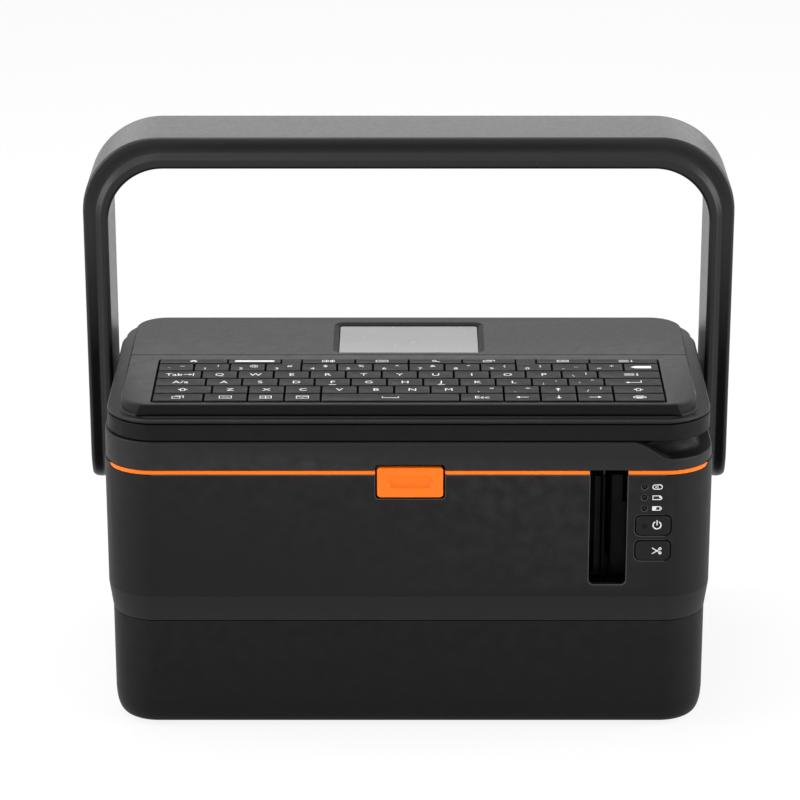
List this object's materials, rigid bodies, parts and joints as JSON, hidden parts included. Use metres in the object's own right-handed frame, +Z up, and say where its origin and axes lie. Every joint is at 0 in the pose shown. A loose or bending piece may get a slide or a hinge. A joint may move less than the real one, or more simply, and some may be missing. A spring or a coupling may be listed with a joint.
{
  "type": "label printer",
  "caption": "Portable label and tube printer: two-tier case, keyboard and display on a hinged lid, upright label exit with cutter, and a swinging U-shaped carrying handle.",
  "frame": {"origin": "on the floor under the middle of the case", "axes": "+X to the right, +Y to the back, +Z up; the keyboard and the label exit face -Y"},
  "size_m": [0.338, 0.1894, 0.287],
  "materials": {
    "case_plastic": "fine moulded texture, charcoal",
    "button_black": "satin black",
    "key_black": "satin black with light print",
    "gloss_black": "gloss black",
    "accent_orange": "satin orange",
    "display_glass": "clear, slightly frosted",
    "light_pipe": "milky",
    "display_cell": "pale grey cell in a dark frame",
    "soft_rubber": "matt",
    "bare_steel": "pressed, bright",
    "cast_aluminium": "plain",
    "pinion_brass": "machined",
    "gear_plastic": "natural white",
    "head_ceramic": "fired",
    "board_green": "solder mask",
    "cassette_plastic": "smooth grey"
  },
  "bodies": {
    "case": {"base_tray": "case_plastic", "battery_door": "case_plastic", "battery_pack": "button_black", "main_board": "board_green", "foot_front_left": "soft_rubber", "foot_front_right": "soft_rubber", "foot_rear_left": "soft_rubber", "foot_rear_right": "soft_rubber", "power_inlet": "button_black", "data_socket": "cast_aluminium", "mid_housing": "case_plastic", "trim_left": "accent_orange", "trim_centre": "accent_orange", "trim_right": "accent_orange", "exit_chute": "gloss_black", "status_lights": "light_pipe", "tube_inlet": "button_black", "handle_pivot_left": "bare_steel", "handle_pivot_right": "bare_steel", "hinge_pin_left": "bare_steel", "hinge_pin_right": "bare_steel", "chassis_deck": "bare_steel", "drive_motor": "cast_aluminium", "roller_holder": "bare_steel", "print_head": "head_ceramic", "heat_sink": "cast_aluminium", "cutter_anvil": "bare_steel", "tape_cassette": "cassette_plastic", "ribbon_cassette": "cassette_plastic"},
    "lid": {"top_lid": "case_plastic", "keyboard_lower_case": "case_plastic", "keyboard_upper_case": "case_plastic", "lcd_window": "display_glass", "lcd_module": "display_cell", "keyboard_board": "board_green", "key_mat": "soft_rubber"},
    "carry_handle": {"handle": "case_plastic"},
    "release": {"release_button": "accent_orange"},
    "power": {"power_button": "button_black"},
    "cut": {"cut_button": "button_black"},
    "platen": {"platen_roller": "soft_rubber", "platen_gear": "gear_plastic"},
    "idler": {"idler_gear": "gear_plastic"},
    "pinion": {"motor_pinion": "pinion_brass"},
    "blade": {"cutter_blade": "bare_steel"},
    "body_key_row_function": {"key_row_function": "key_black"},
    "body_key_row_digits": {"key_row_digits": "key_black"},
    "body_key_row_qwerty": {"key_row_qwerty": "key_black"},
    "body_key_row_asdf": {"key_row_asdf": "key_black"},
    "body_key_row_zxcv": {"key_row_zxcv": "key_black"},
    "body_key_row_modifiers": {"key_row_modifiers": "key_black"},
    "body_key_row_arrows": {"key_row_arrows": "key_black"},
    "body_key_backspace": {"key_backspace": "key_black"},
    "body_key_line": {"key_line": "key_black"},
    "body_key_enter": {"key_enter": "key_black"},
    "body_key_shift_left": {"key_shift_left": "key_black"},
    "body_key_shift_right": {"key_shift_right": "key_black"},
    "body_key_space": {"key_space": "key_black"},
    "body_key_cancel": {"key_cancel": "key_black"},
    "body_key_execute": {"key_execute": "key_black"}
  },
  "joints": [
    {"name": "handle_swing", "type": "hinge", "parent": "case", "child": "carry_handle", "pos_m": [0, 0.028, 0.1154], "axis": [-1, 0, 0], "range_deg": [0, 90]},
    {"name": "lid_open", "type": "hinge", "parent": "case", "child": "lid", "pos_m": [0, 0.088, 0.146], "axis": [-1, 0, 0], "range_deg": [0, 42]},
    {"name": "release_press", "type": "slide", "parent": "case", "child": "release", "axis": [0, 1, 0], "range_m": [0, 0.003], "stiffness_N_per_m": 500, "springref_m": -0.002},
    {"name": "power_press", "type": "slide", "parent": "case", "child": "power", "axis": [0, 1, 0], "range_m": [0, 0.001], "stiffness_N_per_m": 300, "springref_m": -0.002},
    {"name": "cut_press", "type": "slide", "parent": "case", "child": "cut", "axis": [0, 1, 0], "range_m": [0, 0.001], "stiffness_N_per_m": 300, "springref_m": -0.002},
    {"name": "platen_spin", "type": "hinge", "parent": "case", "child": "platen", "pos_m": [0.106, -0.06, 0.1], "axis": [0, 0, 1], "continuous": true},
    {"name": "idler_spin", "type": "hinge", "parent": "case", "child": "idler", "pos_m": [0.08175, -0.046, 0.074], "axis": [0, 0, 1], "continuous": true},
    {"name": "pinion_spin", "type": "hinge", "parent": "case", "child": "pinion", "pos_m": [0.05812, -0.04183, 0.074], "axis": [0, 0, 1], "continuous": true},
    {"name": "cutter_stroke", "type": "slide", "parent": "case", "child": "blade", "axis": [-1, 0, 0], "range_m": [0, 0.004]},
    {"name": "press_row_function", "type": "slide", "parent": "lid", "child": "body_key_row_function", "axis": [0, 0, -1], "range_m": [0, 0.0018], "stiffness_N_per_m": 300, "springref_m": -0.003},
    {"name": "press_row_digits", "type": "slide", "parent": "lid", "child": "body_key_row_digits", "axis": [0, 0, -1], "range_m": [0, 0.0018], "stiffness_N_per_m": 300, "springref_m": -0.003},
    {"name": "press_row_qwerty", "type": "slide", "parent": "lid", "child": "body_key_row_qwerty", "axis": [0, 0, -1], "range_m": [0, 0.0018], "stiffness_N_per_m": 300, "springref_m": -0.003},
    {"name": "press_row_asdf", "type": "slide", "parent": "lid", "child": "body_key_row_asdf", "axis": [0, 0, -1], "range_m": [0, 0.0018], "stiffness_N_per_m": 300, "springref_m": -0.003},
    {"name": "press_row_zxcv", "type": "slide", "parent": "lid", "child": "body_key_row_zxcv", "axis": [0, 0, -1], "range_m": [0, 0.0018], "stiffness_N_per_m": 300, "springref_m": -0.003},
    {"name": "press_row_modifiers", "type": "slide", "parent": "lid", "child": "body_key_row_modifiers", "axis": [0, 0, -1], "range_m": [0, 0.0018], "stiffness_N_per_m": 300, "springref_m": -0.003},
    {"name": "press_row_arrows", "type": "slide", "parent": "lid", "child": "body_key_row_arrows", "axis": [0, 0, -1], "range_m": [0, 0.0018], "stiffness_N_per_m": 300, "springref_m": -0.003},
    {"name": "press_backspace", "type": "slide", "parent": "lid", "child": "body_key_backspace", "axis": [0, 0, -1], "range_m": [0, 0.0018], "stiffness_N_per_m": 120, "springref_m": -0.003},
    {"name": "press_line", "type": "slide", "parent": "lid", "child": "body_key_line", "axis": [0, 0, -1], "range_m": [0, 0.0018], "stiffness_N_per_m": 120, "springref_m": -0.003},
    {"name": "press_enter", "type": "slide", "parent": "lid", "child": "body_key_enter", "axis": [0, 0, -1], "range_m": [0, 0.0018], "stiffness_N_per_m": 120, "springref_m": -0.003},
    {"name": "press_shift_left", "type": "slide", "parent": "lid", "child": "body_key_shift_left", "axis": [0, 0, -1], "range_m": [0, 0.0018], "stiffness_N_per_m": 120, "springref_m": -0.003},
    {"name": "press_shift_right", "type": "slide", "parent": "lid", "child": "body_key_shift_right", "axis": [0, 0, -1], "range_m": [0, 0.0018], "stiffness_N_per_m": 120, "springref_m": -0.003},
    {"name": "press_space", "type": "slide", "parent": "lid", "child": "body_key_space", "axis": [0, 0, -1], "range_m": [0, 0.0018], "stiffness_N_per_m": 120, "springref_m": -0.003},
    {"name": "press_cancel", "type": "slide", "parent": "lid", "child": "body_key_cancel", "axis": [0, 0, -1], "range_m": [0, 0.0018], "stiffness_N_per_m": 120, "springref_m": -0.003},
    {"name": "press_execute", "type": "slide", "parent": "lid", "child": "body_key_execute", "axis": [0, 0, -1], "range_m": [0, 0.0018], "stiffness_N_per_m": 120, "springref_m": -0.003}
  ],
  "couplings": [
    {"joint": "idler_spin", "follows": "platen_spin", "ratio": -0.55556},
    {"joint": "pinion_spin", "follows": "platen_spin", "ratio": 1.6667}
  ]
}
